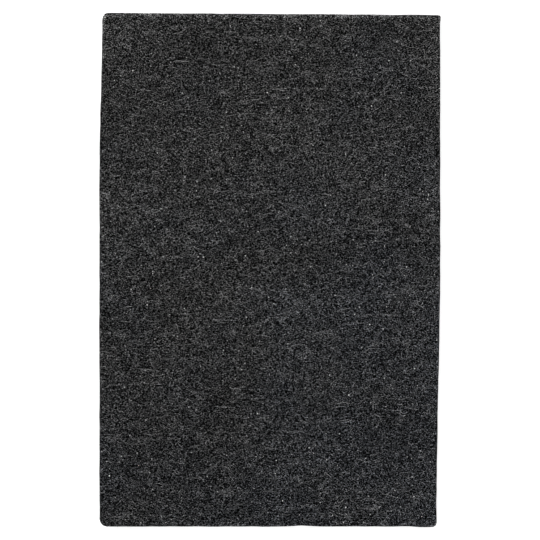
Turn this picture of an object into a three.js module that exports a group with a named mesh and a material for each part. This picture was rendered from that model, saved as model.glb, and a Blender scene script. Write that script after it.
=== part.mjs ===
// Abrasive hand pad: one die-cut sheet of lofty non-woven web, lying flat.
// Millimetres, +Z up. The pad's length runs along Y and its width along X.
// The origin is under the middle of the pad, on the surface that it lies on.
import * as THREE from "three";
import { mergeVertices } from "three/addons/utils/BufferGeometryUtils.js";

// Overall size of the sheet
const LENGTH = 229;
const WIDTH = 152;
const THICKNESS = 7;

// Corner radii that the worn cutting die left
const BACK_LEFT_RADIUS = 2.6;
const BACK_RIGHT_RADIUS = 0.6;
const FRONT_LEFT_RADIUS = 3;
const FRONT_RIGHT_RADIUS = 1.7;
const CORNER_STEPS = 2;

// The left edge leans inwards over its last stretch towards the back
const LEFT_LEAN = 1.3;
const LEFT_LEAN_REACH = 74;

// The right edge draws in towards the front
const RIGHT_TAPER = 1.7;
const RIGHT_TAPER_REACH = 120;

// The back edge slopes forwards from left to right
const BACK_SLOPE = 1;

// A nib of web stands proud where the back right corner was torn off its neighbour
const NIB_HEIGHT = 0.4;
const NIB_REACH = 3.5;

// A small notch and a small bulge in the front edge, at their distance from the right edge
const NOTCH_DEPTH = 0.55;
const NOTCH_HALF_WIDTH = 5;
const NOTCH_FROM_RIGHT = 60.5;
const BULGE_HEIGHT = 0.45;
const BULGE_HALF_WIDTH = 6;
const BULGE_FROM_RIGHT = 5;

// Unevenness of the cut edge, and the soft rims where the web is crushed by the cut
const RIPPLE = 0.16;
const RIPPLE_PITCH = 8;
const WALL_FRAY = 0.22;
const RIM_INSET = 0.45;
const RIM_HEIGHT = 1.3;

// Tufts of the web: the tips lie in the two faces, and the pits between them go in
const TUFT_PITCH = 4.2;
const TUFT_SCATTER = 0.3;
const PIT_DEPTH = 1.2;
const RIM_PIT_DEPTH = 0.5;
const TIP_SHARE = 0.48;
const SWELL_PITCH = 34;
const SWELL_WEIGHT = 0.3;

// Chosen so that a flat tip of the web lies under and over the origin
const WEB_SEED = 3927824;

// What each random draw is for, so that no two draws repeat each other
const DRAW = { under: 0, upper: 1, across: 2, along: 3, fray: 4, diagonal: 5 };
const EDGE_DRAW = { left: 901, right: 902, back: 903, front: 904 };

const HALF_WIDTH = WIDTH / 2;
const HALF_LENGTH = LENGTH / 2;

// A repeatable number from 0 to 1 for a set of whole numbers
function chance(...keys) {
  let bits = WEB_SEED;
  for (const key of keys) {
    bits = Math.imul(bits ^ (key + 374761393), 668265263);
    bits ^= bits >>> 15;
  }
  bits = Math.imul(bits, 2246822519);
  return ((bits ^ (bits >>> 13)) >>> 0) / 2 ** 32;
}

const ease = (share) => THREE.MathUtils.smoothstep(share, 0, 1);

// Smooth noise from 0 to 1 along a line, with a new random value at each pitch
function wander(distance, pitch, line) {
  const step = Math.floor(distance / pitch);
  const share = ease(distance / pitch - step);
  return THREE.MathUtils.lerp(chance(step, line), chance(step + 1, line), share);
}

// Smooth noise from 0 to 1 over a face
function swell(x, y, face) {
  const row = Math.floor(y / SWELL_PITCH);
  const share = ease(y / SWELL_PITCH - row);
  const near = wander(x, SWELL_PITCH, row * 2 + face);
  const far = wander(x, SWELL_PITCH, (row + 1) * 2 + face);
  return THREE.MathUtils.lerp(near, far, share);
}

// A rounded hump of height 1 at its middle that ends at its half width
const hump = (offset, halfWidth) => ease(1 - Math.abs(offset) / halfWidth);

const ripple = (distance, line) => RIPPLE * (wander(distance, RIPPLE_PITCH, line) - 0.5);

// How far each edge of the sheet lies inside the plain rectangle, along that edge
const insetOf = {
  left: (y) => LEFT_LEAN * ease(1 - (HALF_LENGTH - y) / LEFT_LEAN_REACH) + ripple(y, EDGE_DRAW.left),
  right: (y) =>
    RIGHT_TAPER * ease(1 - (y + HALF_LENGTH) / RIGHT_TAPER_REACH) -
    NIB_HEIGHT * hump(HALF_LENGTH - y, NIB_REACH) +
    ripple(y, EDGE_DRAW.right),
  back: (x) => (BACK_SLOPE * (x + HALF_WIDTH)) / WIDTH + ripple(x, EDGE_DRAW.back),
  front: (x) =>
    NOTCH_DEPTH * hump(HALF_WIDTH - NOTCH_FROM_RIGHT - x, NOTCH_HALF_WIDTH) -
    BULGE_HEIGHT * hump(HALF_WIDTH - BULGE_FROM_RIGHT - x, BULGE_HALF_WIDTH) +
    ripple(x, EDGE_DRAW.front),
};

// Lines of tufts across a side: close together at both corners, even between them
function stationsAlong(side) {
  const corner = Math.max(BACK_LEFT_RADIUS, BACK_RIGHT_RADIUS, FRONT_LEFT_RADIUS, FRONT_RIGHT_RADIUS);
  const middle = side - 2 * corner;
  const gaps = Math.round(middle / TUFT_PITCH);
  const stations = [];
  for (let i = 0; i < CORNER_STEPS; i++) {
    stations.push((corner * i) / CORNER_STEPS - side / 2);
  }
  for (let i = 0; i <= gaps; i++) {
    stations.push((middle * i) / gaps - middle / 2);
  }
  for (let i = CORNER_STEPS - 1; i >= 0; i--) {
    stations.push(side / 2 - (corner * i) / CORNER_STEPS);
  }
  return stations;
}

const columns = stationsAlong(WIDTH);
const rows = stationsAlong(LENGTH);
const layers = [0, RIM_HEIGHT, THICKNESS - RIM_HEIGHT, THICKNESS];
const topLayer = layers.length - 1;

const cornerRadius = (x, y) => {
  if (y > 0) {
    return x < 0 ? BACK_LEFT_RADIUS : BACK_RIGHT_RADIUS;
  }
  return x < 0 ? FRONT_LEFT_RADIUS : FRONT_RIGHT_RADIUS;
};

// Rounds the corner that a point of the plain rectangle lies in
function roundCorner(point) {
  const radius = cornerRadius(point.x, point.y);
  const across = Math.abs(point.x) - (HALF_WIDTH - radius);
  const along = Math.abs(point.y) - (HALF_LENGTH - radius);
  if (across <= 0 || along <= 0) {
    return;
  }
  const pull = Math.max(across, along) / Math.hypot(across, along);
  point.x = Math.sign(point.x) * (HALF_WIDTH - radius + across * pull);
  point.y = Math.sign(point.y) * (HALF_LENGTH - radius + along * pull);
}

// Moves a point of the plain rectangle to its place within the four uneven edges
function fitToEdges(point, drawIn) {
  const { x, y } = point;
  const left = -HALF_WIDTH + insetOf.left(y) + drawIn;
  const right = HALF_WIDTH - insetOf.right(y) - drawIn;
  const front = -HALF_LENGTH + insetOf.front(x) + drawIn;
  const back = HALF_LENGTH - insetOf.back(x) - drawIn;
  point.x = THREE.MathUtils.lerp(left, right, x / WIDTH + 0.5);
  point.y = THREE.MathUtils.lerp(front, back, y / LENGTH + 0.5);
}

// How far a tuft stands back from its face, from 0 at the tips to 1 in the deepest pit
function pitShare(column, row, face) {
  const tuft = chance(column, row, face);
  const broad = swell(columns[column], rows[row], face);
  const level = THREE.MathUtils.lerp(tuft, broad, SWELL_WEIGHT);
  return Math.max(0, (level - TIP_SHARE) / (1 - TIP_SHARE));
}

const isRim = (index, stations) => index === 0 || index === stations.length - 1;
const inCorner = (index, stations) => index <= CORNER_STEPS || index >= stations.length - 1 - CORNER_STEPS;

// Where one tuft of the web stands
function placeTuft(column, row, layer) {
  const point = new THREE.Vector3(columns[column], rows[row], layers[layer]);
  const onFace = layer === 0 || layer === topLayer;
  const onWall = isRim(column, columns) || isRim(row, rows);
  if (onFace && !inCorner(column, columns) && !inCorner(row, rows)) {
    const reach = TUFT_PITCH * TUFT_SCATTER;
    point.x += reach * (2 * chance(column, row, layer, DRAW.across) - 1);
    point.y += reach * (2 * chance(column, row, layer, DRAW.along) - 1);
  }
  roundCorner(point);
  const fray = onWall ? WALL_FRAY * chance(column, row, layer, DRAW.fray) : 0;
  fitToEdges(point, fray + (onFace && onWall ? RIM_INSET : 0));
  const depth = onWall ? RIM_PIT_DEPTH : PIT_DEPTH;
  if (layer === 0) {
    point.z += depth * pitShare(column, row, DRAW.under);
  }
  if (layer === topLayer) {
    point.z -= depth * pitShare(column, row, DRAW.upper);
  }
  return point;
}

// Turns the diagonal of about half of the cells, so that the facets run both ways
function mixDiagonals(geometry) {
  const index = geometry.index;
  for (let start = 0; start < index.count; start += 6) {
    if (chance(start, DRAW.diagonal) < 0.5) {
      const a = index.getX(start);
      const c = index.getX(start + 4);
      index.setX(start + 2, c);
      index.setX(start + 3, a);
    }
  }
}

// The web's closed surface: a box of cells whose corners become tufts
function makeWeb() {
  const across = columns.length - 1;
  const along = rows.length - 1;
  const box = new THREE.BoxGeometry(across, along, topLayer, across, along, topLayer);
  box.deleteAttribute("normal");
  box.deleteAttribute("uv");
  mixDiagonals(box);
  const web = mergeVertices(box);
  web.clearGroups();
  const position = web.attributes.position;
  for (let i = 0; i < position.count; i++) {
    const column = Math.round(position.getX(i) + across / 2);
    const row = Math.round(position.getY(i) + along / 2);
    const layer = Math.round(position.getZ(i) + topLayer / 2);
    const tuft = placeTuft(column, row, layer);
    position.setXYZ(i, tuft.x, tuft.y, tuft.z);
  }
  web.computeBoundingBox();
  const middle = web.boundingBox.getCenter(new THREE.Vector3());
  web.translate(-middle.x, -middle.y, 0);
  web.computeVertexNormals();
  return web;
}

const charcoalWeb = new THREE.MeshStandardMaterial({ color: 0x303133, roughness: 0.95, metalness: 0 });

const handPad = new THREE.Mesh(makeWeb(), charcoalWeb);
handPad.name = "hand_pad";

const part = new THREE.Group();
part.add(handPad);

export default part;
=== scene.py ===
"""Dresses the abrasive hand pad: a matted web core in the form of the cut sheet, crimped fibres laid over
its two faces and its cut sides, and grit that the resin holds on the fibres."""

import logging
import math
from dataclasses import dataclass
from enum import Enum
from typing import Any

import bpy
import numpy as np
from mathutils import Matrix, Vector
from mathutils.bvhtree import BVHTree


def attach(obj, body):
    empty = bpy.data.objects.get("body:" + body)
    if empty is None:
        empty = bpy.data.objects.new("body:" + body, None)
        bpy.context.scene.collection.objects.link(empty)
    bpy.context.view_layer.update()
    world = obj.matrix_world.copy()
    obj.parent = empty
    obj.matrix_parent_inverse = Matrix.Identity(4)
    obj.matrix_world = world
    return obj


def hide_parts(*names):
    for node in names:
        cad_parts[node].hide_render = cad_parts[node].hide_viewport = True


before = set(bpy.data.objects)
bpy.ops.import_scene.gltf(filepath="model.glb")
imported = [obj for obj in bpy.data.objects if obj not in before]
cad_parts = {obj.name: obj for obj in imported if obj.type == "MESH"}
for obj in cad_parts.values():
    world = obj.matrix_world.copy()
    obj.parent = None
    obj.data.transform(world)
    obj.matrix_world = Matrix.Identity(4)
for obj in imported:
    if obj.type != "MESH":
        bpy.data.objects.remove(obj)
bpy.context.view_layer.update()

MM = 0.001
BODY = "root"
NODE = "hand_pad"
BAKE_MAP = "OFBake"
# How far the web's fibres and patterns run along X, Y and Z, as shares of an even mat's
LAY = (1.32, 0.77, 1.0)
# The Mix node's sockets for colours, by number, since their names repeat
COLOUR_SHARE, COLOUR_FIRST, COLOUR_SECOND, COLOUR_RESULT = 0, 6, 7, 2
WHITE = (1.0, 1.0, 1.0, 1.0)
TURN = 2 * math.pi
# Shares of a tube's ring: its start lies below the first, and its second half above the second
RING_START = 0.01
RING_HALF = 0.5

log = logging.getLogger("hand_pad")


class Zone(Enum):
    """The parts of the pad's surface that a fibre or a grain can lie on."""

    UPPER = "upper"
    UNDER = "under"
    SIDE = "side"


def deselect_all() -> None:
    """Deselects every object, because an operator acts on all that is selected."""
    bpy.ops.object.select_all(action="DESELECT")


def select_only(piece: bpy.types.Object) -> None:
    """Selects one object and makes it active.

    Args:
        piece: The object that the next operators act on.
    """
    deselect_all()
    piece.select_set(True)
    bpy.context.view_layer.objects.active = piece


def apply_modifiers(piece: bpy.types.Object) -> None:
    """Applies a piece's modifiers from first to last.

    Args:
        piece: The object whose modifiers become part of its mesh.
    """
    select_only(piece)
    for modifier in list(piece.modifiers):
        bpy.ops.object.modifier_apply(modifier=modifier.name)


def add_object(name: str, mesh: bpy.types.Mesh) -> bpy.types.Object:
    """Puts a mesh into the scene.

    Args:
        name: The new object's name.
        mesh: Its mesh.

    Returns:
        The object, at the origin.
    """
    made = bpy.data.objects.new(name, mesh)
    bpy.context.scene.collection.objects.link(made)
    return made


def note_numbers(mesh: bpy.types.Mesh, name: str, values: np.ndarray) -> None:
    """Stores one number at each point of a mesh.

    Args:
        mesh: The mesh.
        name: The new attribute's name.
        values: The numbers, in the order of the points.
    """
    layer = mesh.attributes.new(name, "FLOAT", "POINT")
    layer.data.foreach_set("value", np.asarray(values, np.float32).ravel())


def note_directions(mesh: bpy.types.Mesh, name: str, values: np.ndarray) -> None:
    """Stores three numbers at each point of a mesh.

    Args:
        mesh: The mesh.
        name: The new attribute's name.
        values: The directions or angles, in the order of the points.
    """
    layer = mesh.attributes.new(name, "FLOAT_VECTOR", "POINT")
    layer.data.foreach_set("vector", np.asarray(values, np.float32).ravel())


def dress_and_ride(piece: bpy.types.Object, material: bpy.types.Material) -> None:
    """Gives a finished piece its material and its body.

    Args:
        piece: The finished object, at the origin.
        material: What its surface is made of.
    """
    piece.data.materials.clear()
    piece.data.materials.append(material)
    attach(piece, BODY)
    triangles = sum(len(face.vertices) - 2 for face in piece.data.polygons)
    log.info("%s: %d triangles", piece.name, triangles)


class Value:
    """A shader socket that can be used in Python expressions, each of which adds its Math nodes."""

    def __init__(self, bench: "NodeBench", socket: bpy.types.NodeSocket) -> None:
        """Keeps the node tree's bench and the socket that holds the value."""
        self.bench = bench
        self.socket = socket

    def _maths(self, operation: str, *operands: Any) -> "Value":
        """Adds one Math node.

        Args:
            operation: The Math node's operation.
            operands: Values or numbers, in the node's order.

        Returns:
            The node's result.
        """
        inputs = dict(enumerate(operands))
        return self.bench.add("ShaderNodeMath", {"operation": operation}, inputs)

    def __add__(self, other: Any) -> "Value":
        """Sum."""
        return self._maths("ADD", self, other)

    def __radd__(self, other: Any) -> "Value":
        """Sum, reflected."""
        return self._maths("ADD", other, self)

    def __sub__(self, other: Any) -> "Value":
        """Difference."""
        return self._maths("SUBTRACT", self, other)

    def __rsub__(self, other: Any) -> "Value":
        """Difference, reflected."""
        return self._maths("SUBTRACT", other, self)

    def __mul__(self, other: Any) -> "Value":
        """Product."""
        return self._maths("MULTIPLY", self, other)

    def __rmul__(self, other: Any) -> "Value":
        """Product, reflected."""
        return self._maths("MULTIPLY", other, self)

    def __truediv__(self, other: Any) -> "Value":
        """Quotient."""
        return self._maths("DIVIDE", self, other)

    def __pow__(self, other: Any) -> "Value":
        """Power."""
        return self._maths("POWER", self, other)

    def __abs__(self) -> "Value":
        """Size without sign."""
        return self._maths("ABSOLUTE", self)

    def clamped(self) -> "Value":
        """The value kept between 0 and 1."""
        return self._maths("MINIMUM", self._maths("MAXIMUM", self, 0.0), 1.0)

    def at_most(self, other: Any) -> "Value":
        """The smaller of two values."""
        return self._maths("MINIMUM", self, other)

    def at_least(self, other: Any) -> "Value":
        """The larger of two values."""
        return self._maths("MAXIMUM", self, other)


class NodeBench:
    """Builds one node tree."""

    def __init__(self, tree: bpy.types.NodeTree) -> None:
        """Empties the tree."""
        self.tree = tree
        self.tree.nodes.clear()

    def add(self, kind: str, settings: dict[str, Any] | None = None,
            inputs: dict[Any, Any] | None = None, output: Any = 0) -> Value | None:
        """Adds a node.

        Args:
            kind: The node's type.
            settings: The node's own settings, which are set first.
            inputs: Numbers, colours or Values for its sockets, by name or number.
            output: The name or number of the socket that is wanted.

        Returns:
            That output socket as a Value, or nothing for a node that only takes inputs.
        """
        node = self.tree.nodes.new(kind)
        for name, setting in (settings or {}).items():
            setattr(node, name, setting)
        for key, given in (inputs or {}).items():
            if isinstance(given, Value):
                self.tree.links.new(given.socket, node.inputs[key])
            else:
                node.inputs[key].default_value = given
        return Value(self, node.outputs[output]) if node.outputs else None

    def vector(self, operation: str, inputs: dict[Any, Any], output: Any = 0) -> Value:
        """Adds one Vector Math node.

        Args:
            operation: The node's operation.
            inputs: Vectors, numbers or Values for its sockets.
            output: The name or number of the socket that is wanted.

        Returns:
            The node's result.
        """
        return self.add("ShaderNodeVectorMath", {"operation": operation}, inputs, output)

    def object_place(self) -> Value:
        """The point's place in the pad's own frame, in metres."""
        return self.add("ShaderNodeTexCoord", output="Object")

    def laid(self, place: Value) -> Value:
        """A place to read a pattern at, so that it runs out across the sheet as the web's fibres do.

        Args:
            place: The point's place.

        Returns:
            The place in the pattern.
        """
        return self.vector("DIVIDE", {0: place, 1: LAY})

    def noise(self, place: Value, size: float, detail: float = 2.0, warp: float = 0.0) -> Value:
        """Smooth noise in space.

        Args:
            place: Where the noise is read.
            size: The width of its features, in metres.
            detail: How many finer layers it has.
            warp: How far it is distorted.

        Returns:
            A value around a half.
        """
        settings = {"noise_dimensions": "3D"}
        inputs = {"Vector": place, "Scale": 1.0 / size, "Detail": detail, "Distortion": warp}
        return self.add("ShaderNodeTexNoise", settings, inputs, "Fac")

    def swing(self, place: Value, size: float, detail: float = 2.0) -> Value:
        """Smooth noise around 0.

        Args:
            place: Where the noise is read.
            size: The width of its features, in metres.
            detail: How many finer layers it has.

        Returns:
            A value from about minus a half to a half.
        """
        return self.noise(place, size, detail) - 0.5

    def attribute(self, name: str) -> Value:
        """A number that the mesh holds at each point."""
        return self.add("ShaderNodeAttribute", {"attribute_name": name}, output="Fac")

    def facing(self, name: str) -> Value:
        """How far the surface faces a direction that the mesh holds at each point.

        Args:
            name: The direction's attribute.

        Returns:
            1 where it faces that way, and 0 from where it is side-on.
        """
        way = self.add("ShaderNodeAttribute", {"attribute_name": name}, output="Vector")
        normal = self.add("ShaderNodeTexCoord", output="Normal")
        return self.vector("DOT_PRODUCT", {0: normal, 1: way}, "Value").clamped()

    def mix(self, share: Any, first: Any, second: Any) -> Value:
        """Mixes two colours.

        Args:
            share: From 0 for the first to 1 for the second.
            first: A colour or a Value.
            second: A colour or a Value.

        Returns:
            The mixed colour.
        """
        inputs = {COLOUR_SHARE: share, COLOUR_FIRST: first, COLOUR_SECOND: second}
        return self.add("ShaderNodeMix", {"data_type": "RGBA"}, inputs, COLOUR_RESULT)

    def scaled(self, colour: Value, strength: Value) -> Value:
        """A colour made lighter or darker.

        Args:
            colour: The colour.
            strength: What it is multiplied by.

        Returns:
            The new colour.
        """
        return self.vector("SCALE", {0: colour, "Scale": strength})

    def relief(self, height: Value, strength: float, depth: float) -> Value:
        """A bump that is too fine for the mesh.

        Args:
            height: The pattern that stands up.
            strength: How strongly it shows, from 0 to 1.
            depth: How far it stands up, in metres.

        Returns:
            The bent normal.
        """
        inputs = {"Strength": strength, "Distance": depth, "Height": height}
        return self.add("ShaderNodeBump", None, inputs)

    def finish(self, surface: dict[str, Any]) -> None:
        """Ends a material's tree with its shader.

        Args:
            surface: Numbers, colours or Values for the Principled shader's sockets.
        """
        shader = self.add("ShaderNodeBsdfPrincipled", None, surface)
        self.add("ShaderNodeOutputMaterial", None, {"Surface": shader})


def new_material(name: str) -> tuple[bpy.types.Material, NodeBench]:
    """Starts a material.

    Args:
        name: Its name.

    Returns:
        The material, and the bench of its empty node tree.
    """
    made = bpy.data.materials.new(name)
    made.use_nodes = True
    return made, NodeBench(made.node_tree)


def new_geometry_bench(name: str) -> NodeBench:
    """Starts a node tree for a modifier that takes a mesh and gives one.

    Args:
        name: The tree's name.

    Returns:
        The bench of the tree.
    """
    tree = bpy.data.node_groups.new(name, "GeometryNodeTree")
    for way in ("INPUT", "OUTPUT"):
        tree.interface.new_socket("Geometry", in_out=way, socket_type="NodeSocketGeometry")
    return NodeBench(tree)


def rgb(level: float, tint: tuple[float, float, float]) -> tuple[float, float, float, float]:
    """A tinted grey.

    Args:
        level: How light it is, as a linear value.
        tint: What its three channels are multiplied by.

    Returns:
        A colour with its alpha.
    """
    return (level * tint[0], level * tint[1], level * tint[2], 1.0)


@dataclass(frozen=True)
class Tints:
    """The drift of the black dye, which is neutral at the back left and bluish at the front right."""

    neutral: tuple[float, float, float] = (1.0, 1.0, 1.0)
    bluish: tuple[float, float, float] = (0.955, 0.982, 1.04)
    turn: tuple[float, float, float] = (4.1, -4.0, 0.0)
    middle: float = 0.33
    patch: float = 30 * MM
    patch_depth: float = 2.2
    cloud: float = 9 * MM
    cloud_depth: float = 0.38
    cloud_detail: float = 3.0
    broad: float = 55 * MM
    broad_depth: float = 0.7
    broad_detail: float = 1.0
    lift: float = 0.45
    # How much lighter the cut sides are, and how much more at the back edge: partly the paler cut fibre ends
    # and denser web, partly painted light from the white surroundings
    rim_pale_and_painted_light: float = 0.3
    back_rim_pale_and_painted_light: float = 1.1
    back_from: float = 100 * MM
    back_to: float = 112 * MM

    def colour(self, bench: NodeBench, place: Value) -> Value:
        """The dye's tint.

        Args:
            bench: The material's bench.
            place: The point's place.

        Returns:
            A near-white tint.
        """
        across = bench.vector("DOT_PRODUCT", {0: place, 1: self.turn}, "Value")
        drift = across + bench.swing(place, self.patch) * self.patch_depth + self.middle
        return bench.mix(drift.clamped(), rgb(1.0, self.neutral), rgb(1.0, self.bluish))

    def lightness(self, bench: NodeBench, place: Value) -> Value:
        """How light the web is from cloud to cloud, around 1, growing lighter towards the back, and lighter
        again at the cut sides: partly their paler cut fibre ends, partly painted light from the white
        surroundings.

        Args:
            bench: The material's bench.
            place: The point's place.

        Returns:
            The lightness.
        """
        laid = bench.laid(place)
        cloud = bench.swing(laid, self.cloud, self.cloud_detail) * self.cloud_depth
        cloud = 1.0 + cloud + bench.swing(laid, self.broad, self.broad_detail) * self.broad_depth
        along = bench.add("ShaderNodeSeparateXYZ", None, {0: place}, "Y")
        back = ((along - self.back_from) / (self.back_to - self.back_from)).clamped()
        # Lighter cut sides: partly paler cut fibre ends, partly painted light from the white surroundings
        rim = bench.attribute("rim") * (self.rim_pale_and_painted_light + back * self.back_rim_pale_and_painted_light)
        return cloud * (1.0 + along * self.lift) * (1.0 + rim)


SCUFFED = Tints(bluish=(0.98, 0.995, 1.02))
STAINED = Tints(bluish=(0.93, 0.972, 1.06))


@dataclass(frozen=True)
class CoatedFibre:
    """Nylon fibre with its coat of black resin and fine grit."""

    name: str
    level: float
    roughness: float = 0.5
    gloss: float = 0.12
    dullest: float = 0.62
    palest: float = 2.5
    # How far a fibre's colour falls where it lies deep, and the depth at which it falls that far: painted
    # shade of the fibres above it
    deepest_painted_shade: float = 0.15
    painted_shade_depth: float = 0.9 * MM
    coat_size: float = 0.8 * MM
    coat_detail: float = 1.0
    coat_depth: float = 4.0
    bare: float = 0.4
    laden: float = 2.2
    # The flanks' share of the crest's lightness, and how sharply it falls: a painted highlight along the
    # crest and painted shade on the flanks
    painted_flank_level: float = 0.06
    painted_crest_power: float = 3.0
    brightest: float = 0.95
    grit_size: float = 0.09 * MM
    grit_gloss: float = 0.5
    grit_strength: float = 0.35
    grit_height: float = 0.03 * MM
    tints: Tints = Tints()

    def material(self) -> bpy.types.Material:
        """Builds the material, which reads the fibre's own tone and depth, darkens deeper points as painted
        shade, and paints its crest light and its flanks dark.

        Returns:
            The material.
        """
        made, bench = new_material(self.name)
        place = bench.object_place()
        shade = self.dullest + bench.attribute("shade") * (self.palest - self.dullest)
        # Painted shade: deeper points of a fibre are darkened, standing for the shade of the fibres above
        # them
        painted_depth_shade = (bench.attribute("sink") / self.painted_shade_depth).clamped()
        coat = 1.0 + bench.swing(bench.laid(place), self.coat_size, self.coat_detail) * self.coat_depth
        coat = coat.at_least(self.bare).at_most(self.laden)
        # Painted highlight and shade: the fibre is light where it faces out of the sheet and dark on its
        # flanks
        painted_crest_light = self.painted_flank_level + bench.facing("out") ** self.painted_crest_power * (1.0 - self.painted_flank_level)
        light = shade * (1.0 - painted_depth_shade * (1.0 - self.deepest_painted_shade)) * coat * painted_crest_light
        light = light * self.tints.lightness(bench, place) * self.level
        colour = bench.scaled(self.tints.colour(bench, place), light.at_most(self.brightest))
        grit = bench.noise(place, self.grit_size)
        bench.finish({
            "Base Color": colour,
            "Roughness": (self.roughness + (grit - 0.5) * self.grit_gloss).clamped(),
            "Specular IOR Level": self.gloss,
            "Normal": bench.relief(grit, self.grit_strength, self.grit_height),
        })
        return made


@dataclass(frozen=True)
class MattedCore:
    """The web below its outer fibres: curls of fibre showing in near-black resin, whose darkness is also
    painted shade of the web's deep voids.
    """

    name: str = "matted_core"
    # The near-black between the curls: partly the black resin, partly painted shade of the web's deep voids
    resin_and_painted_void_shade: float = 0.002
    curl_level: float = 0.212
    curl_size: float = 0.6 * MM
    curl_width: float = 0.08
    curl_detail: float = 1.0
    curl_warp: float = 0.6
    speck_size: float = 0.44 * MM
    speck_depth: float = 18.0
    speck_base: float = -1.25
    bright: float = 4.0
    first_shift: float = 0.31
    second_shift: float = 1.73
    second_weight: float = 0.8
    relief_strength: float = 0.9
    relief_height: float = 0.25 * MM
    roughness: float = 0.9
    gloss: float = 0.0
    tints: Tints = STAINED

    def _curls(self, bench: NodeBench, place: Value, shift: float) -> Value:
        """One layer of curls, which are the lines where a noise passes through its middle value.

        Args:
            bench: The material's bench.
            place: The point's place.
            shift: How far this layer is moved, so that no two layers are alike.

        Returns:
            1 along the curls and 0 between them.
        """
        moved = bench.vector("ADD", {0: bench.laid(place), 1: (shift,) * 3})
        field = bench.noise(moved, self.curl_size, self.curl_detail, self.curl_warp)
        line = (1.0 - abs(field - 0.5) / self.curl_width).clamped()
        speck = self.speck_base + bench.swing(moved, self.speck_size, 0.0) * self.speck_depth
        return line * speck.at_least(0.0).at_most(self.bright)

    def material(self) -> bpy.types.Material:
        """Builds the material.

        Returns:
            The material.
        """
        made, bench = new_material(self.name)
        place = bench.object_place()
        curls = self._curls(bench, place, self.first_shift)
        curls = curls.at_least(self._curls(bench, place, self.second_shift) * self.second_weight)
        # The gaps are near black: black resin and painted shade of the deep voids
        light = (self.resin_and_painted_void_shade + curls * self.curl_level) * self.tints.lightness(bench, place)
        colour = bench.scaled(self.tints.colour(bench, place), light)
        bench.finish({
            "Base Color": colour,
            "Roughness": self.roughness,
            "Specular IOR Level": self.gloss,
            "Normal": bench.relief(curls, self.relief_strength, self.relief_height),
        })
        return made


@dataclass(frozen=True)
class MineralGrain:
    """Mineral grains that show paler than the fibres: partly the grit where its resin has worn thin, partly
    painted glints.
    """

    name: str = "grain_painted_glint"
    level: float = 1.0
    darkest: float = 0.12
    roughness: float = 0.35
    gloss: float = 0.3
    tints: Tints = SCUFFED

    def material(self) -> bpy.types.Material:
        """Builds the material.

        Returns:
            The material.
        """
        made, bench = new_material(self.name)
        place = bench.object_place()
        # The pale grain colour is partly the grit itself and partly painted glint
        light = (self.darkest + bench.attribute("shade") * (1.0 - self.darkest)) * self.level
        bench.finish({
            "Base Color": bench.scaled(self.tints.colour(bench, place), light),
            "Roughness": self.roughness,
            "Specular IOR Level": self.gloss,
        })
        return made


class WebSurface:
    """The cut sheet's own surface, which the core copies and the fibres follow."""

    UPRIGHT = 0.6
    RIM_WIDTH = 2.4 * MM

    def __init__(self, node: bpy.types.Object) -> None:
        """Reads the sheet's triangles.

        Args:
            node: The sheet's CAD object, whose mesh isn't changed.
        """
        mesh = node.data
        mesh.calc_loop_triangles()
        points = np.empty(len(mesh.vertices) * 3)
        mesh.vertices.foreach_get("co", points)
        self.points = points.reshape(-1, 3)
        indices = np.empty(len(mesh.loop_triangles) * 3, dtype=np.int32)
        mesh.loop_triangles.foreach_get("vertices", indices)
        self.triangles = indices.reshape(-1, 3)
        self.corners = [self.points[self.triangles[:, k]] for k in range(3)]
        a, b, c = self.corners
        self.cross = np.cross(b - a, c - a)
        self.size = np.linalg.norm(self.cross, axis=1)
        self.facing = self.cross[:, 2] / self.size
        self.tree = BVHTree.FromPolygons(self.points.tolist(), self.triangles.tolist())
        walls = self.triangles[np.abs(self.facing) <= self.UPRIGHT]
        self.walls = BVHTree.FromPolygons(self.points.tolist(), walls.tolist())

    def rim_share(self, points: np.ndarray) -> np.ndarray:
        """How near each point is to the cut sides.

        Args:
            points: Points near the surface.

        Returns:
            1 at the cut sides, and 0 from the rim's width inwards.
        """
        away = [self.walls.find_nearest(point)[3] for point in points.reshape(-1, 3).tolist()]
        return np.clip(1.0 - np.array(away) / self.RIM_WIDTH, 0.0, 1.0)

    def scatter(self, zone: Zone, count: int, rng: np.random.Generator) -> tuple[np.ndarray, np.ndarray]:
        """Places points evenly over one zone.

        Args:
            zone: Where they go.
            count: How many there are.
            rng: The seeded source of chance.

        Returns:
            The points, and the outward normals there.
        """
        inside = {
            Zone.UPPER: self.facing > self.UPRIGHT,
            Zone.UNDER: self.facing < -self.UPRIGHT,
            Zone.SIDE: np.abs(self.facing) <= self.UPRIGHT,
        }[zone]
        covered = np.cumsum(self.size * inside)
        spread = (np.arange(count) + rng.random(count)) / count
        chosen = np.searchsorted(covered, spread * covered[-1])
        u, v = rng.random((2, count, 1))
        folded = u + v > 1
        u, v = np.where(folded, 1 - u, u), np.where(folded, 1 - v, v)
        a, b, c = self.corners
        place = a[chosen] + u * (b - a)[chosen] + v * (c - a)[chosen]
        return place, self.cross[chosen] / self.size[chosen, None]

    def kept_level(self, points: np.ndarray, radius: float | np.ndarray) -> np.ndarray:
        """Keeps points between the two faces that the pad lies on.

        Args:
            points: Points near the surface.
            radius: How far what lies there reaches to each side, for all points or for each.

        Returns:
            The points, none of them nearer to the lowest or highest level than the radius.
        """
        lowest, highest = self.points[:, 2].min() + radius, self.points[:, 2].max() - radius
        kept = points.copy()
        kept[..., 2] = kept[..., 2].clip(lowest, highest)
        return kept

    def nearest(self, points: np.ndarray) -> tuple[np.ndarray, np.ndarray]:
        """Finds the nearest points of the surface.

        Args:
            points: Points near the surface.

        Returns:
            The points on the surface, and the outward normals there.
        """
        found = [self.tree.find_nearest(point)[:2] for point in points.tolist()]
        return np.array([tuple(at) for at, _ in found]), np.array([tuple(normal) for _, normal in found])


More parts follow.
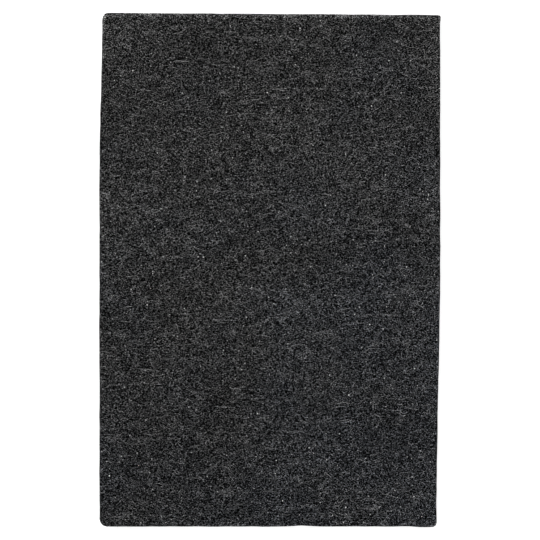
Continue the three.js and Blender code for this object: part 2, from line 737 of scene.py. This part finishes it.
def along_surface(direction: np.ndarray, normal: np.ndarray) -> np.ndarray:
    """Lays directions flat along a surface.

    Args:
        direction: Directions in space.
        normal: The surface's normals.

    Returns:
        Unit directions along the surface.
    """
    flat = direction - normal * (direction * normal).sum(axis=1, keepdims=True)
    return flat / np.linalg.norm(flat, axis=1, keepdims=True)


@dataclass
class WebCore:
    """The body of the sheet: the CAD form with its faces drawn in a little and its cut walls drawn out."""

    name: str = "web_core"
    swell: float = 0.1 * MM
    face_inset: float = 0.55 * MM
    lump_size: float = 1.4 * MM
    lump_height: float = 0.6 * MM
    lump_detail: int = 2
    cuts: int = 2
    weld: float = 0.001 * MM
    flattest: float = math.radians(60)
    squarest: float = math.radians(80)
    smoothing: float = 0.5
    smoothings: int = 3
    fade: int = 2
    fill: float = 0.9
    finish: MattedCore = MattedCore()

    def _mark_faces(self, piece: bpy.types.Object) -> str:
        """Makes a vertex group that is full on the two faces and fades out towards the cut walls.

        Args:
            piece: The core.

        Returns:
            The group's name.
        """
        group = piece.vertex_groups.new(name="faces")
        for vertex in piece.data.vertices:
            group.add([vertex.index], abs(vertex.normal.z) ** self.fade, "REPLACE")
        return group.name

    def _draw_in(self, piece: bpy.types.Object, depth: float, group: str) -> None:
        """Draws the surface in along its normals.

        Args:
            piece: The core.
            depth: How far, in metres, or less than 0 to draw it out.
            group: The vertex group that it acts on, or nothing for the whole surface.
        """
        modifier = piece.modifiers.new("draw_in", "DISPLACE")
        modifier.strength = -depth
        modifier.mid_level = 0.0
        modifier.vertex_group = group

    def _roughen(self, piece: bpy.types.Object, group: str, lay: bpy.types.Object) -> None:
        """Adds a relief of rounded lumps to the two faces.

        Args:
            piece: The core.
            group: The vertex group of the faces.
            lay: An empty, scaled as the web is laid.
        """
        lumps = bpy.data.textures.new(f"{self.name}_lumps", "CLOUDS")
        lumps.noise_scale = self.lump_size
        lumps.noise_depth = self.lump_detail
        modifier = piece.modifiers.new("lumps", "DISPLACE")
        modifier.texture = lumps
        modifier.texture_coords = "OBJECT"
        modifier.texture_coords_object = lay
        modifier.strength = self.lump_height
        modifier.mid_level = 0.5
        modifier.vertex_group = group

    @staticmethod
    def _mark_rims(mesh: bpy.types.Mesh, surface: WebSurface) -> None:
        """Notes at each point how near it is to the cut sides.

        Args:
            mesh: The core's mesh.
            surface: The sheet's surface.
        """
        points = np.empty(len(mesh.vertices) * 3, np.float32)
        mesh.vertices.foreach_get("co", points)
        note_numbers(mesh, "rim", surface.rim_share(points.reshape(-1, 3)))

    def build(self, node: bpy.types.Object, surface: WebSurface) -> bpy.types.Object:
        """Models the core from a copy of the sheet's CAD form.

        Args:
            node: The sheet's CAD object.
            surface: The sheet's surface.

        Returns:
            The finished core.
        """
        deselect_all()
        bpy.ops.object.empty_add()
        lay = bpy.context.object
        lay.scale = LAY
        core = add_object(self.name, node.data.copy())
        select_only(core)
        bpy.ops.object.mode_set(mode="EDIT")
        bpy.ops.mesh.select_all(action="SELECT")
        bpy.ops.mesh.remove_doubles(threshold=self.weld)
        bpy.ops.mesh.tris_convert_to_quads(face_threshold=self.flattest, shape_threshold=self.squarest)
        bpy.ops.mesh.subdivide(number_cuts=self.cuts)
        bpy.ops.mesh.vertices_smooth(factor=self.smoothing, repeat=self.smoothings)
        bpy.ops.object.mode_set(mode="OBJECT")
        faces = self._mark_faces(core)
        self._draw_in(core, -self.swell, "")
        self._draw_in(core, self.face_inset, faces)
        self._roughen(core, faces, lay)
        apply_modifiers(core)
        bpy.data.objects.remove(lay)
        bpy.ops.object.shade_smooth()
        self._mark_rims(core.data, surface)
        dress_and_ride(core, self.finish.material())
        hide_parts(NODE)
        return core


@dataclass
class FibreLayer:
    """One layer of crimped fibres over one zone of the pad."""

    name: str
    zone: Zone
    count: int
    seed: int
    sink: float
    finish: CoatedFibre
    girth: float = 0.04 * MM
    steps: int = 6
    step: float = 0.55 * MM
    curl: float = 0.35
    crimp: float = 1.2
    wave: float = 0.1 * MM
    dive: float = 0.6 * MM
    thinnest: float = 0.7
    thickest: float = 1.25
    knot: float = 1.2
    proud: float = 0.0
    sides: int = 3
    map_steps: float = 3.0
    map_margin: float = 0.12
    sink_spread: tuple[float, float] = (0.55, 1.5)
    wave_rate: tuple[float, float] = (1.5, 3.2)
    crimp_rate: tuple[float, float] = (0.6, 1.5)
    dive_power: int = 3
    shade_beta: tuple[float, float] = (1.2, 4.5)

    def _stoutest(self) -> float:
        """The largest radius that a fibre can have, in metres."""
        return self.girth * self.thickest * self.knot

    def _sinks(self, rng: np.random.Generator) -> np.ndarray:
        """How deep each point of each fibre lies below the surface, in metres.

        Args:
            rng: The seeded source of chance.

        Returns:
            One row for each fibre and one column for each step.
        """
        share = np.linspace(0.0, 1.0, self.steps)
        base = self.sink * rng.uniform(*self.sink_spread, (self.count, 1))
        phase = rng.uniform(0, TURN, (self.count, 1))
        rate = rng.uniform(*self.wave_rate, (self.count, 1)) * TURN
        wave = self.wave * np.sin(phase + rate * share)
        dive = self.dive * np.abs(2 * share - 1) ** self.dive_power
        return np.maximum(base + wave + dive, self._stoutest() - self.proud)

    def _routes(self, surface: WebSurface, rng: np.random.Generator,
                sinks: np.ndarray) -> tuple[np.ndarray, np.ndarray]:
        """Leads every fibre over the surface in crimped curls.

        Args:
            surface: The sheet's surface.
            rng: The seeded source of chance.
            sinks: How deep each point lies.

        Returns:
            Points by fibre, step and axis, and the outward directions there.
        """
        place, normal = surface.scatter(self.zone, self.count, rng)
        heading = along_surface(rng.normal(size=place.shape), normal)
        bend = rng.normal(0, self.curl, self.count)
        phase = rng.uniform(0, TURN, self.count)
        rate = rng.uniform(*self.crimp_rate, self.count)
        route = np.empty((self.count, self.steps, 3))
        out = np.empty_like(route)
        for step in range(self.steps):
            route[:, step] = place - normal * sinks[:, step, None]
            out[:, step] = normal
            turn = (bend + self.crimp * np.sin(phase + rate * step))[:, None]
            side = np.cross(normal, heading)
            heading = heading * np.cos(turn) + side * np.sin(turn)
            place, normal = surface.nearest(place + heading * self.step * LAY)
            heading = along_surface(heading, normal)
        return surface.kept_level(route, self._stoutest()), out

    def _lines(self, route: np.ndarray, out: np.ndarray, sinks: np.ndarray, rim: np.ndarray,
               rng: np.random.Generator) -> bpy.types.Object:
        """Makes the fibres' centre lines, which carry the thickness, shade and depth of each point.

        Args:
            route: Points by fibre, step and axis.
            out: The outward directions there.
            sinks: How deep each point lies.
            rim: How near each point is to the cut sides.
            rng: The seeded source of chance.

        Returns:
            An object of edges.
        """
        total = self.count * self.steps
        first = np.arange(total).reshape(self.count, self.steps)[:, :-1].ravel()
        mesh = bpy.data.meshes.new(self.name)
        mesh.from_pydata(route.reshape(-1, 3).tolist(), np.stack([first, first + 1], 1).tolist(), [])
        thick = self.girth * rng.uniform(self.thinnest, self.thickest, (self.count, 1))
        thick = thick * rng.uniform(1 / self.knot, self.knot, sinks.shape)
        shade = np.repeat(rng.beta(*self.shade_beta, self.count), self.steps)
        fibre = np.repeat(np.arange(self.count), self.steps)
        along = np.tile(np.linspace(0.0, 1.0, self.steps), self.count)
        for name, values in (("girth", thick), ("shade", shade), ("sink", sinks), ("rim", rim),
                             ("fibre", fibre), ("along", along)):
            note_numbers(mesh, name, values)
        note_directions(mesh, "out", out)
        return add_object(self.name, mesh)

    def _tube_tree(self) -> bpy.types.NodeTree:
        """The modifier's nodes, which sweep a small section along each line and close its ends.

        Returns:
            The node tree.
        """
        bench = new_geometry_bench(f"{self.name}_tube")
        lines = bench.add("NodeGroupInput")
        curves = bench.add("GeometryNodeMeshToCurve", None, {"Mesh": lines})
        girth = bench.add("GeometryNodeInputNamedAttribute", {"data_type": "FLOAT"}, {"Name": "girth"})
        circle = bench.add("GeometryNodeCurvePrimitiveCircle", {"mode": "RADIUS"},
                           {"Resolution": self.sides, "Radius": 1.0})
        around = bench.add("GeometryNodeSplineParameter", output="Factor")
        section = bench.add("GeometryNodeStoreNamedAttribute", {"data_type": "FLOAT", "domain": "POINT"},
                            {"Geometry": circle, "Name": "around", "Value": around})
        tubes = bench.add("GeometryNodeCurveToMesh", None,
                          {"Curve": curves, "Profile Curve": section, "Scale": girth, "Fill Caps": True})
        bench.add("NodeGroupOutput", None, {0: tubes})
        return bench.tree

    @staticmethod
    def _at_corners(mesh: bpy.types.Mesh, name: str) -> np.ndarray:
        """Reads the number that a mesh holds at the point under each corner of its faces.

        Args:
            mesh: The mesh.
            name: The attribute's name.

        Returns:
            One number for each corner.
        """
        point = np.empty(len(mesh.loops), np.int32)
        mesh.loops.foreach_get("vertex_index", point)
        values = np.empty(len(mesh.vertices), np.float32)
        mesh.attributes[name].data.foreach_get("value", values)
        return values[point]

    def _around(self, mesh: bpy.types.Mesh) -> np.ndarray:
        """How far each corner lies around its tube, with 1 in place of 0 on the side that closes the ring.

        Args:
            mesh: The layer's tubes.

        Returns:
            A share of the ring for each corner, from 0 to 1.
        """
        around = self._at_corners(mesh, "around")
        face_size = np.empty(len(mesh.polygons), np.int32)
        mesh.polygons.foreach_get("loop_total", face_size)
        face = np.repeat(np.arange(len(face_size)), face_size)
        highest = np.zeros(len(face_size), np.float32)
        np.maximum.at(highest, face, around)
        is_wall = face_size[face] == 4
        at_start = around < RING_START
        closes = highest[face] > RING_HALF
        return np.where(at_start & closes & is_wall, 1.0, around)

    def _add_bake_map(self, mesh: bpy.types.Mesh) -> None:
        """Gives every fibre its own small field of a UV map, with its length along the field.

        Args:
            mesh: The layer's tubes.
        """
        columns = max(1, round(math.sqrt(self.count * self.map_steps / self.steps)))
        rows = math.ceil(self.count / columns)
        column, row = np.divmod(self._at_corners(mesh, "fibre").round(), rows)
        used = 1 - 2 * self.map_margin
        u = (column + self.map_margin + used * self._at_corners(mesh, "along")) / columns
        v = (row + self.map_margin + used * self._around(mesh)) / rows
        layer = mesh.uv_layers.new(name=BAKE_MAP)
        layer.data.foreach_set("uv", np.stack([u, v], 1).astype(np.float32).ravel())

    def build(self, surface: WebSurface) -> bpy.types.Object:
        """Lays the fibres and turns them into closed tubes.

        Args:
            surface: The sheet's surface.

        Returns:
            The finished layer.
        """
        rng = np.random.default_rng(self.seed)
        sinks = self._sinks(rng)
        route, out = self._routes(surface, rng, sinks)
        layer = self._lines(route, out, sinks, surface.rim_share(route), rng)
        layer.modifiers.new("tubes", "NODES").node_group = self._tube_tree()
        apply_modifiers(layer)
        bpy.ops.object.shade_smooth()
        self._add_bake_map(layer.data)
        dress_and_ride(layer, self.finish.material())
        return layer


@dataclass
class GritGrains:
    """The loose-set grains that stand on the outer fibres."""

    name: str
    zone: Zone
    count: int
    seed: int
    sink: float = 0.12 * MM
    smallest: float = 0.14 * MM
    largest: float = 0.45 * MM
    widest: float = 1.15
    breadth: float = 0.8
    height: float = 0.65
    cleft_at: tuple[float, float, float] = (0.55, 0.0, 0.0)
    cleft_to: tuple[float, float, float] = (1.0, 0.4, 0.3)
    top_at: tuple[float, float, float] = (0.0, 0.0, 0.4)
    top_to: tuple[float, float, float] = (0.2, -0.3, 1.0)
    size_beta: tuple[float, float] = (1.5, 3.0)
    shade_beta: tuple[float, float] = (1.6, 1.6)
    finish: MineralGrain = MineralGrain()

    def _model(self) -> bpy.types.Object:
        """Models one grain of unit size: a stone that is cleaved on two sides.

        Returns:
            The grain that the others are copied from.
        """
        deselect_all()
        bpy.ops.mesh.primitive_ico_sphere_add(subdivisions=1, radius=1.0)
        grain = bpy.context.object
        grain.name = f"{self.name}_model"
        bpy.ops.object.mode_set(mode="EDIT")
        bpy.ops.mesh.select_all(action="SELECT")
        bpy.ops.transform.resize(value=(self.widest, self.breadth, self.height))
        for cut_at, faces_to in ((self.cleft_at, self.cleft_to), (self.top_at, self.top_to)):
            bpy.ops.mesh.select_all(action="SELECT")
            bpy.ops.mesh.bisect(plane_co=cut_at, plane_no=faces_to, use_fill=True, clear_outer=True)
        bpy.ops.mesh.select_all(action="SELECT")
        bpy.ops.mesh.quads_convert_to_tris()
        bpy.ops.object.mode_set(mode="OBJECT")
        return grain

    def _spread_tree(self, grain: bpy.types.Object) -> bpy.types.NodeTree:
        """The modifier's nodes, which set a turned and sized copy of the grain on every point.

        Args:
            grain: The grain that is copied.

        Returns:
            The node tree.
        """
        bench = new_geometry_bench(f"{self.name}_spread")
        points = bench.add("NodeGroupInput")
        model = bench.add("GeometryNodeObjectInfo", None, {"Object": grain}, "Geometry")
        turn = bench.add("GeometryNodeInputNamedAttribute", {"data_type": "FLOAT_VECTOR"}, {"Name": "turn"})
        size = bench.add("GeometryNodeInputNamedAttribute", {"data_type": "FLOAT"}, {"Name": "size"})
        spread = bench.add("GeometryNodeInstanceOnPoints", None,
                           {"Points": points, "Instance": model, "Rotation": turn, "Scale": size})
        solid = bench.add("GeometryNodeRealizeInstances", None, {"Geometry": spread})
        bench.add("NodeGroupOutput", None, {0: solid})
        return bench.tree

    def build(self, surface: WebSurface) -> bpy.types.Object:
        """Sets the grains on the surface.

        Args:
            surface: The sheet's surface.

        Returns:
            The finished grains.
        """
        rng = np.random.default_rng(self.seed)
        place, normal = surface.scatter(self.zone, self.count, rng)
        size = self.smallest + (self.largest - self.smallest) * rng.beta(*self.size_beta, self.count)
        place = surface.kept_level(place - normal * self.sink, size * self.widest)
        mesh = bpy.data.meshes.new(self.name)
        mesh.from_pydata(place.tolist(), [], [])
        note_numbers(mesh, "size", size)
        note_numbers(mesh, "shade", rng.beta(*self.shade_beta, self.count))
        note_directions(mesh, "turn", rng.uniform(-math.pi, math.pi, (self.count, 3)))
        grains = add_object(self.name, mesh)
        model = self._model()
        grains.modifiers.new("spread", "NODES").node_group = self._spread_tree(model)
        apply_modifiers(grains)
        bpy.data.objects.remove(model)
        dress_and_ride(grains, self.finish.material())
        return grains


@dataclass(frozen=True)
class Lamp:
    """One soft square lamp that faces the pad, with its place and width in metres and its power in watts."""

    name: str
    place: tuple[float, float, float]
    width: float
    power: float

    def build(self) -> None:
        """Hangs the lamp."""
        deselect_all()
        bpy.ops.object.light_add(type="AREA", location=self.place)
        lamp = bpy.context.object
        lamp.name = self.name
        lamp.data.size = self.width
        lamp.data.energy = self.power
        lamp.rotation_euler = Vector(self.place).to_track_quat("Z", "Y").to_euler()


@dataclass
class Studio:
    """A pale floor, soft lamps and the camera straight above the pad."""

    view_height: float = 240.7 * MM
    focus_level: float = 5 * MM
    lens: float = 100.0
    sensor: float = 36.0
    floor_width: float = 6.0
    floor_level: float = 0.82
    floor_glow: float = 0.56
    ambient: float = 0.55
    key: Lamp = Lamp("key", (-0.75, 0.75, 1.2), 0.6, 16.0)
    fill: Lamp = Lamp("fill", (0.9, -0.5, 1.1), 0.9, 6.0)

    def _floor(self) -> None:
        """Lays the floor, which shows the pad's shadow and lets light and sight through from below."""
        deselect_all()
        bpy.ops.mesh.primitive_plane_add(size=self.floor_width, location=(0, 0, 0))
        floor = bpy.context.object
        floor.name = "floor"
        made, bench = new_material("floor")
        seen = self._seen(bench)
        lit = bench.add("ShaderNodeBsdfDiffuse", None, {"Color": rgb(self.floor_level, WHITE[:3])})
        glow = bench.add("ShaderNodeEmission", None, {"Color": WHITE, "Strength": self.floor_glow})
        paper = bench.add("ShaderNodeAddShader", None, {0: lit, 1: glow})
        clear = bench.add("ShaderNodeBsdfTransparent")
        back = bench.add("ShaderNodeNewGeometry", output="Backfacing")
        shown = seen * (1.0 - back)
        shader = bench.add("ShaderNodeMixShader", None, {0: shown, 1: clear, 2: paper})
        bench.add("ShaderNodeOutputMaterial", None, {"Surface": shader})
        floor.data.materials.append(made)

    @staticmethod
    def _seen(bench: NodeBench) -> Value:
        """1 for rays that show the surroundings themselves, and 0 for rays that light the pad.

        Args:
            bench: The bench of the floor's or the world's tree.

        Returns:
            The mask.
        """
        camera = bench.add("ShaderNodeLightPath", output="Is Camera Ray")
        glossy = bench.add("ShaderNodeLightPath", output="Is Glossy Ray")
        passing = bench.add("ShaderNodeLightPath", output="Is Transmission Ray")
        return (camera + glossy + passing).clamped()

    def _world(self) -> None:
        """Surrounds the pad with even light, and shows white to the camera."""
        world = bpy.data.worlds.new("studio")
        world.use_nodes = True
        bench = NodeBench(world.node_tree)
        seen = self._seen(bench)
        strength = self.ambient + seen * (1.0 - self.ambient)
        background = bench.add("ShaderNodeBackground", None, {"Color": WHITE, "Strength": strength})
        bench.add("ShaderNodeOutputWorld", None, {"Surface": background})
        bpy.context.scene.world = world

    def _camera(self) -> None:
        """Hangs the camera over the middle of the pad, with the pad's back edge at the top."""
        data = bpy.data.cameras.new("overhead")
        data.lens = self.lens
        data.sensor_width = self.sensor
        camera = bpy.data.objects.new("overhead", data)
        camera.location = (0, 0, self.focus_level + self.view_height * self.lens / self.sensor)
        bpy.context.scene.collection.objects.link(camera)
        bpy.context.scene.camera = camera

    def build(self) -> None:
        """Sets up everything that isn't part of the pad."""
        self._floor()
        self._world()
        self.key.build()
        self.fill.build()
        self._camera()
        bpy.context.scene.view_settings.view_transform = "Standard"
        log.info("studio: floor, two lamps and the camera")


# One coated fibre at three levels: the middle and deep ones are painted darker than the nap, as painted
# shade of the fibres that lie above them
NAP = CoatedFibre("nap_fibre", level=0.94, tints=SCUFFED)
MIDDLE = CoatedFibre("middle_fibre", level=0.38)
DEEP = CoatedFibre("deep_fibre", level=0.29, tints=STAINED)
STRAND: dict[str, Any] = {"steps": 14, "step": 0.5 * MM, "curl": 0.25, "crimp": 0.5}

LAYERS = (
    FibreLayer("upper_fibres_deep", Zone.UPPER, 5400, 11, 0.5 * MM, DEEP),
    FibreLayer("upper_fibres_middle", Zone.UPPER, 6000, 12, 0.35 * MM, MIDDLE),
    FibreLayer("upper_fibres_nap", Zone.UPPER, 2400, 13, 0.2 * MM, NAP, **STRAND),
    FibreLayer("under_fibres_deep", Zone.UNDER, 3100, 21, 0.4 * MM, MIDDLE, girth=0.06 * MM),
    FibreLayer("under_fibres_nap", Zone.UNDER, 1400, 22, 0.2 * MM, NAP, girth=0.06 * MM, **STRAND),
    FibreLayer("cut_side_fibres", Zone.SIDE, 1900, 31, 0.05 * MM, MIDDLE,
               girth=0.07 * MM, proud=0.12 * MM),
)
GRAINS = (
    GritGrains("upper_grains", Zone.UPPER, 1200, 41),
    GritGrains("under_grains", Zone.UNDER, 500, 42),
    GritGrains("cut_side_grains", Zone.SIDE, 100, 43),
)


def main() -> None:
    """Builds the pad's pieces in order, and then the studio."""
    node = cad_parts[NODE]
    surface = WebSurface(node)
    WebCore().build(node, surface)
    for layer in LAYERS + GRAINS:
        layer.build(surface)
    Studio().build()


if __name__ == "__main__":
    logging.basicConfig(level=logging.INFO, format="%(message)s")
    main()
